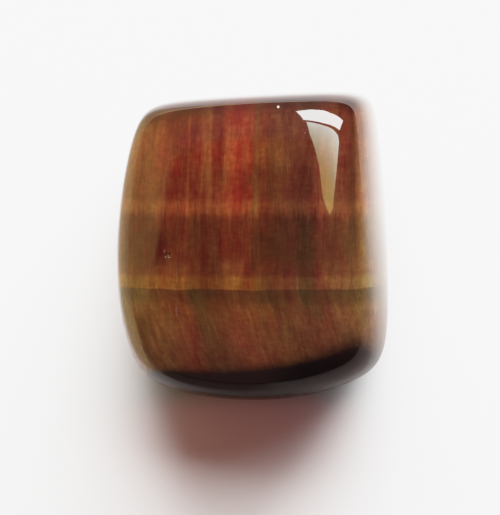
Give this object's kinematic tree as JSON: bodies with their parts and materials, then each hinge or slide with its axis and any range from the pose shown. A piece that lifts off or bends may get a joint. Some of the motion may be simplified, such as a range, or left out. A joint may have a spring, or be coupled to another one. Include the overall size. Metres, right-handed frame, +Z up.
{
  "type": "tumbled tigers eye stone",
  "caption": "Small tumbled and polished tiger's eye stone, a rounded block with silky fibrous bands of red, brown and gold.",
  "frame": {"origin": "middle of the stone's bounding box, on the surface that it rests on", "axes": "+Y along the longer side, which is also the way the fibres run; +Z up, through the thickness, away from the flat that it rests on"},
  "size_m": [0.0162, 0.019, 0.0105],
  "materials": {
    "polished_stone": "high polish, red-brown with golden fibre bands"
  },
  "bodies": {
    "root": {"tigers_eye": "polished_stone"}
  },
  "joints": []
}
